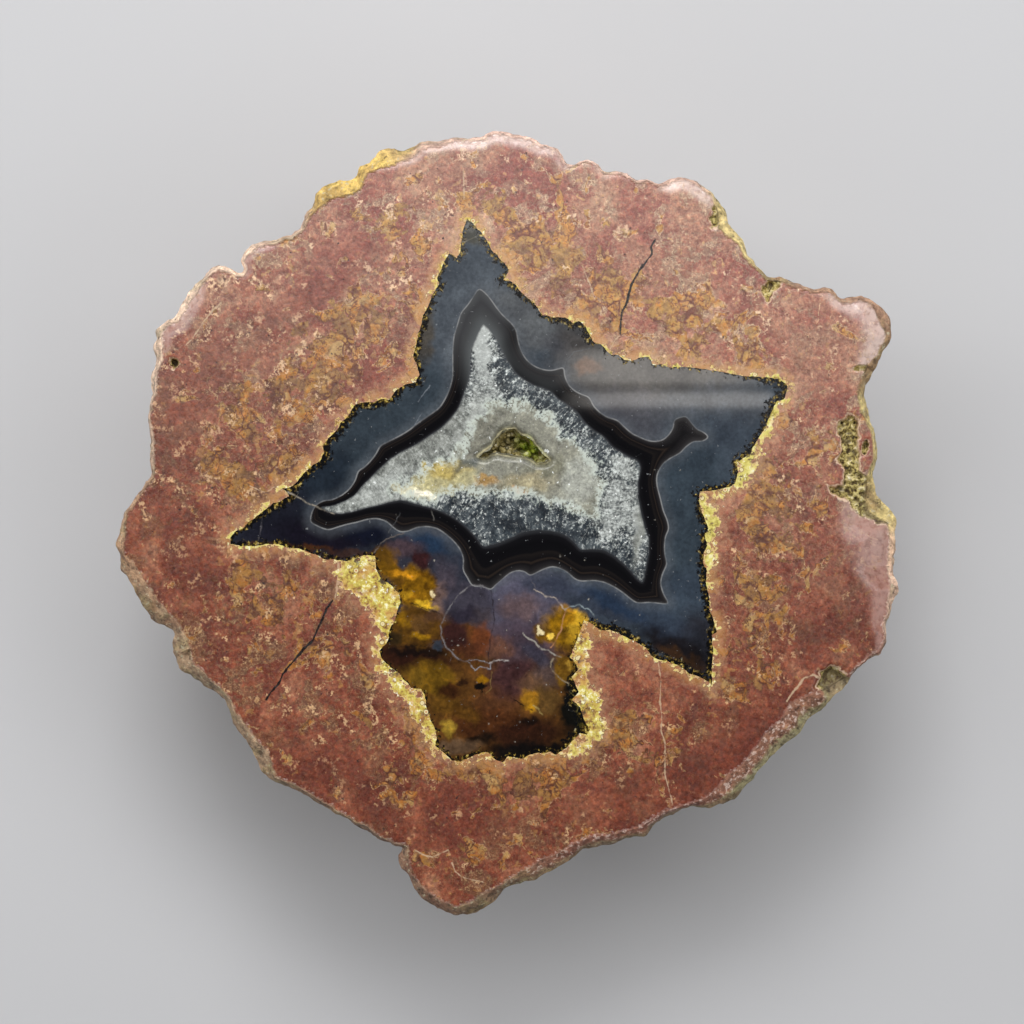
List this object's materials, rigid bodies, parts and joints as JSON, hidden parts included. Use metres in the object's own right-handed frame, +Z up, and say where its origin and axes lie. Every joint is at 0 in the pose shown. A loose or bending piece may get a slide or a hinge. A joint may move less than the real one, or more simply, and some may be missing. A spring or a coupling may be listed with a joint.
{
  "type": "thunder egg half",
  "caption": "Half of a rhyolite thunder egg, sawn and polished, with a five-armed agate star and a quartz-lined pocket.",
  "frame": {"origin": "under the middle of the stone, at the level it rests on", "axes": "+Z up, out of the polished cut face; +X to the right and +Y to the top of the star as the face is read"},
  "size_m": [0.15, 0.1506, 0.058],
  "materials": {
    "rhyolite": "polished face, rough rind",
    "agate": "polished, translucent",
    "quartz": "polished, sugary crystals"
  },
  "bodies": {
    "root": {"rhyolite_shell": "rhyolite", "agate_core": "agate", "quartz_crust": "quartz"}
  },
  "joints": []
}
